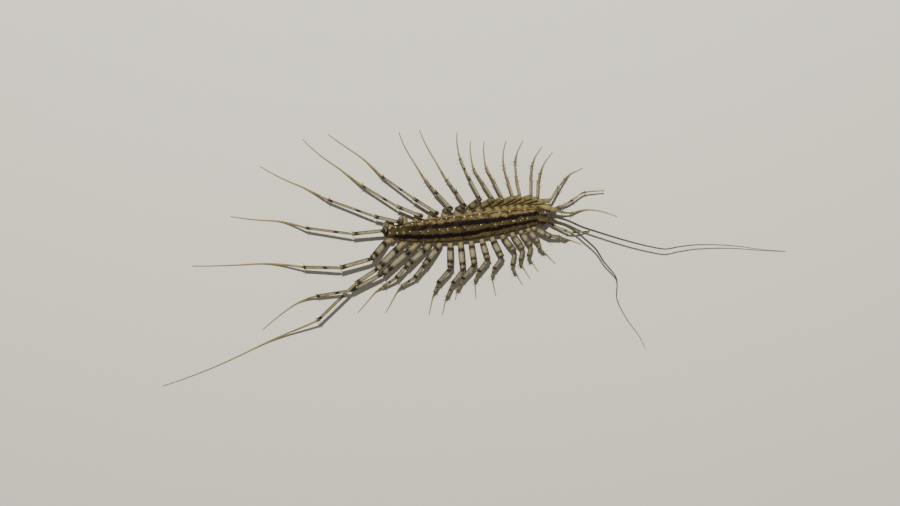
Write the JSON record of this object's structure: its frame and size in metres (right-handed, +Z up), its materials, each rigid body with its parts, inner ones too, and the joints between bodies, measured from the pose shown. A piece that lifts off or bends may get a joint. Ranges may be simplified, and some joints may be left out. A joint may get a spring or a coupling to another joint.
{
  "type": "house centipede",
  "caption": "Life-size still house centipede standing on long thin banded legs, with whip antennae, a plated back with dark stripes, and legs spread to both sides.",
  "frame": {"origin": "middle of the footprint of feet and feelers, on the floor that the feet stand on", "axes": "+X from tail to head, +Y to the animal's left, +Z up"},
  "size_m": [0.1182, 0.0512, 0.0073],
  "materials": {
    "trunk": "satin olive-brown shell plates with two dark lengthwise stripes",
    "head": "satin olive-brown shell with dark markings",
    "eye": "glossy black, finely faceted",
    "leg": "satin grey-olive with dark bands and golden feet",
    "feeler": "satin dark brown-olive, ringed",
    "fang": "glossy amber-brown with dark tips"
  },
  "bodies": {
    "root": {"head": "head", "eye_left": "eye", "eye_right": "eye", "antenna_left": "feeler", "antenna_right": "feeler", "palp_left": "feeler", "palp_right": "feeler", "fang_left": "fang", "fang_right": "fang", "trunk_front": "trunk", "trunk_middle": "trunk", "trunk_rear": "trunk", "leg_left_01": "leg", "leg_left_02": "leg", "leg_left_03": "leg", "leg_left_04": "leg", "leg_left_05": "leg", "leg_left_06": "leg", "leg_left_07": "leg", "leg_left_08": "leg", "leg_left_09": "leg", "leg_left_10": "leg", "leg_left_11": "leg", "leg_left_12": "leg", "leg_left_13": "leg", "leg_left_14": "leg", "leg_left_15": "leg", "leg_right_01": "leg", "leg_right_02": "leg", "leg_right_03": "leg", "leg_right_04": "leg", "leg_right_05": "leg", "leg_right_06": "leg", "leg_right_07": "leg", "leg_right_08": "leg", "leg_right_09": "leg", "leg_right_10": "leg", "leg_right_11": "leg", "leg_right_12": "leg", "leg_right_13": "leg", "leg_right_14": "leg", "leg_right_15": "leg"}
  },
  "joints": []
}
